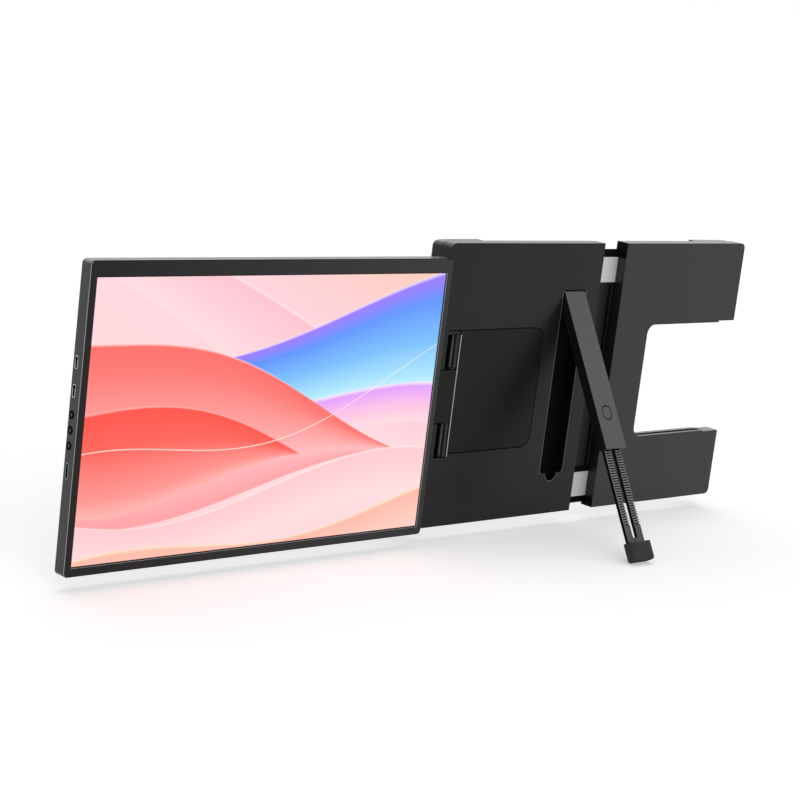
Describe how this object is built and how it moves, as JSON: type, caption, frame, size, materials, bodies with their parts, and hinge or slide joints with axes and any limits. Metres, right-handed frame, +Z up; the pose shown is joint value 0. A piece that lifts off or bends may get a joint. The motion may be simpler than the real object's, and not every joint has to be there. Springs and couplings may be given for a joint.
{
  "type": "laptop screen extender",
  "caption": "Clip-on laptop screen extender: slim body with a sliding C-shaped bracket, a hinged turning display and a telescopic kickstand.",
  "frame": {"origin": "centre of the rear face of the body's lid pad, where the back of the laptop's lid rests", "axes": "+X from the display to the sliding bracket, +Y from the outer face towards the laptop's lid, +Z up along the lid"},
  "size_m": [0.6548, 0.1293, 0.2258],
  "materials": {
    "body_plastic": "matte black moulded plastic, fine grain",
    "bracket_plastic": "matte charcoal moulded plastic, fine grain",
    "display_plastic": "matte charcoal plastic",
    "button_plastic": "satin black plastic",
    "screen": "lit LCD with a plain abstract picture, satin front polariser",
    "light_guide": "clear white acrylic",
    "board": "green solder mask",
    "black_metal": "black coated steel",
    "rail_aluminium": "satin drawn aluminium",
    "steel": "plain machined steel",
    "socket_metal": "stamped nickel-plated steel",
    "nylon": "black nylon",
    "silicone": "black silicone",
    "leg_metal": "dark grey coated steel",
    "foot_rubber": "dark grey rubber"
  },
  "bodies": {
    "body": {"body_front": "body_plastic", "body_rear": "body_plastic", "body_screws": "steel", "lid_pad": "silicone", "glide_upper": "nylon", "glide_lower": "nylon", "claw_upper_left": "body_plastic", "claw_lower_left": "body_plastic", "claw_pad_upper_left": "silicone", "claw_pad_lower_left": "silicone", "hinge_plate": "body_plastic", "hinge_leaf": "black_metal", "leaf_screws": "steel", "hinge_pin": "steel", "friction_washers": "nylon", "stand_pin": "steel"},
    "arm": {"display_arm": "body_plastic", "swivel_shaft": "steel", "swivel_washer": "nylon", "swivel_ring": "steel"},
    "display": {"display_shell": "display_plastic", "display_bezel": "display_plastic", "lcd_panel": "screen", "light_guide": "light_guide", "driver_board": "board", "usb_upper": "socket_metal", "usb_lower": "socket_metal", "video_socket": "socket_metal", "tact_switches": "steel", "swivel_housing": "steel"},
    "button_upper_body": {"button_upper": "button_plastic"},
    "button_middle_body": {"button_middle": "button_plastic"},
    "button_lower_body": {"button_lower": "button_plastic"},
    "bracket": {"bracket_front": "bracket_plastic", "bracket_rear": "bracket_plastic", "bracket_screws": "steel", "tongue": "black_metal", "tongue_screws": "steel", "rail_upper": "rail_aluminium", "rail_lower": "rail_aluminium", "claw_upper_right": "bracket_plastic", "claw_lower_right": "bracket_plastic", "claw_pad_upper_right": "silicone", "claw_pad_lower_right": "silicone", "bracket_pads": "silicone"},
    "kickstand": {"stand_arm": "bracket_plastic"},
    "release": {"release_button": "button_plastic", "release_pawl": "steel"},
    "leg": {"stand_leg": "leg_metal", "stand_foot": "foot_rubber"}
  },
  "joints": [
    {"name": "display_swing", "type": "hinge", "parent": "body", "child": "arm", "pos_m": [-0.0643, -0.0088, -0.0072], "axis": [0, 0, 1], "range_deg": [-20, 45]},
    {"name": "display_flip", "type": "hinge", "parent": "arm", "child": "display", "pos_m": [-0.0851, -0.0128, -0.0072], "axis": [1, 0, 0], "range_deg": [0, 180]},
    {"name": "button_upper_press", "type": "slide", "parent": "display", "child": "button_upper_body", "axis": [1, 0, 0], "range_m": [0, 0.0004], "stiffness_N_per_m": 800, "springref_m": -0.0004},
    {"name": "button_middle_press", "type": "slide", "parent": "display", "child": "button_middle_body", "axis": [1, 0, 0], "range_m": [0, 0.0004], "stiffness_N_per_m": 800, "springref_m": -0.0004},
    {"name": "button_lower_press", "type": "slide", "parent": "display", "child": "button_lower_body", "axis": [1, 0, 0], "range_m": [0, 0.0004], "stiffness_N_per_m": 800, "springref_m": -0.0004},
    {"name": "bracket_slide", "type": "slide", "parent": "body", "child": "bracket", "axis": [1, 0, 0], "range_m": [-0.0259, 0.04]},
    {"name": "kickstand_swing", "type": "hinge", "parent": "body", "child": "kickstand", "pos_m": [0.05505, -0.0085, 0.06825], "axis": [-1, 0, 0], "range_deg": [-26, 15]},
    {"name": "leg_slide", "type": "slide", "parent": "kickstand", "child": "leg", "axis": [0, -0.503, -0.8643], "range_m": [-0.072, 0.004]},
    {"name": "release_press", "type": "slide", "parent": "kickstand", "child": "release", "axis": [0, 0.8643, -0.503], "range_m": [0, 0.0008], "stiffness_N_per_m": 800, "springref_m": -0.0005}
  ]
}
